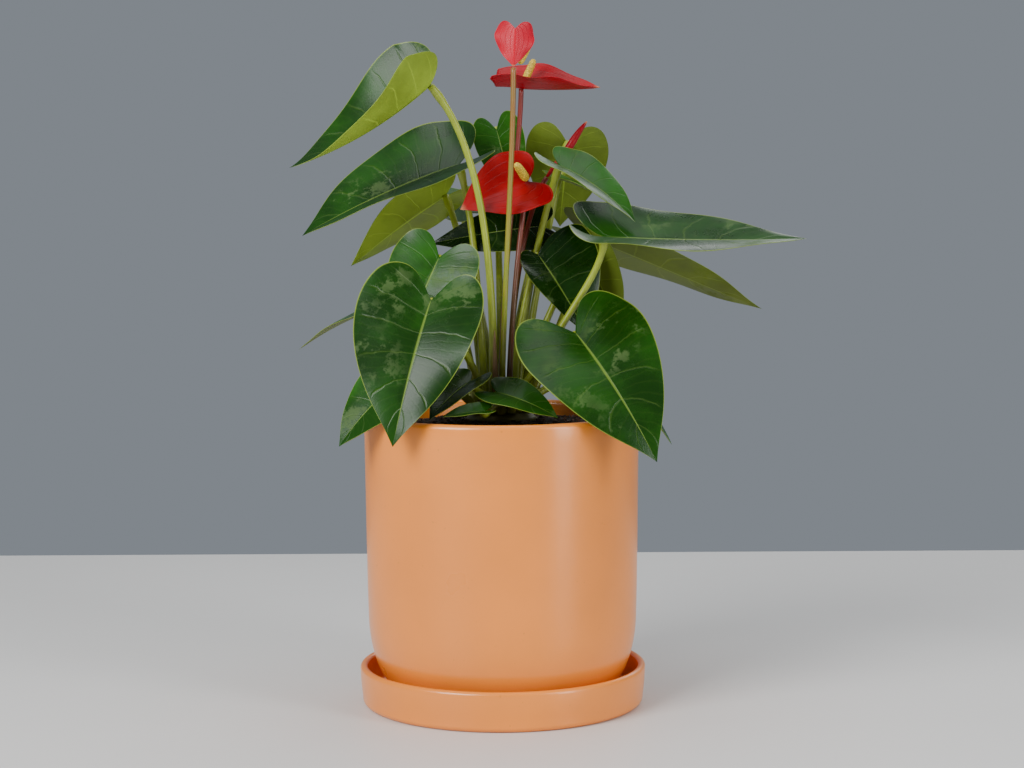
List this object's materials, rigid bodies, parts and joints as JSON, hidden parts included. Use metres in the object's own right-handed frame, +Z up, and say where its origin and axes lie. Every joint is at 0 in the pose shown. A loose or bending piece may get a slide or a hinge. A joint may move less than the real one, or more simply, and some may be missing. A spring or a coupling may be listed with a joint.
{
  "type": "potted anthurium",
  "caption": "Potted flowering plant: heart-shaped leaves and red waxy spathes on slender stalks in a round glazed pot standing on its own saucer.",
  "frame": {"origin": "centre of the saucer's underside, on the surface the plant stands on", "axes": "+Z up out of the pot; -Y towards the side that the plant is seen from, +X to that viewer's right"},
  "size_m": [0.2612, 0.1694, 0.345],
  "materials": {
    "pot_glaze": "satin orange-tan glaze",
    "potting_mix": "dark loose potting mix, stated as wood because the list has no soil",
    "crown": "old leaf bases",
    "leaf": "glossy green leaf",
    "stalk": "smooth green leaf stalk",
    "flower_stalk": "smooth red-brown flower stalk",
    "spathe": "waxy red",
    "spadix": "finely bumpy yellow",
    "sheath": "dry papery brown"
  },
  "bodies": {
    "root": {"saucer": "pot_glaze", "pot": "pot_glaze", "potting_mix": "potting_mix", "crown": "crown", "leaf_A": "leaf", "stalk_A": "stalk", "leaf_B": "leaf", "stalk_B": "stalk", "leaf_C": "leaf", "stalk_C": "stalk", "leaf_D": "leaf", "stalk_D": "stalk", "leaf_E": "leaf", "stalk_E": "stalk", "leaf_F": "leaf", "stalk_F": "stalk", "leaf_G": "leaf", "stalk_G": "stalk", "leaf_H": "leaf", "stalk_H": "stalk", "leaf_I": "leaf", "stalk_I": "stalk", "leaf_J": "leaf", "stalk_J": "stalk", "leaf_K": "leaf", "stalk_K": "stalk", "leaf_M": "leaf", "stalk_M": "stalk", "leaf_N1": "leaf", "stalk_N1": "stalk", "leaf_N2": "leaf", "stalk_N2": "stalk", "leaf_O": "leaf", "stalk_O": "stalk", "leaf_P": "leaf", "stalk_P": "stalk", "leaf_Q": "leaf", "stalk_Q": "stalk", "leaf_R": "leaf", "stalk_R": "stalk", "leaf_S1": "leaf", "stalk_S1": "stalk", "leaf_S2": "leaf", "stalk_S2": "stalk", "leaf_S3": "leaf", "stalk_S3": "stalk", "leaf_T": "leaf", "stalk_T": "stalk", "spathe_1": "spathe", "spadix_1": "spadix", "flower_stalk_1": "flower_stalk", "spathe_2": "spathe", "spadix_2": "spadix", "flower_stalk_2": "flower_stalk", "spathe_3": "spathe", "spadix_3": "spadix", "flower_stalk_3": "flower_stalk", "bud": "spathe", "bud_stalk": "flower_stalk", "sheath": "sheath"}
  },
  "joints": []
}
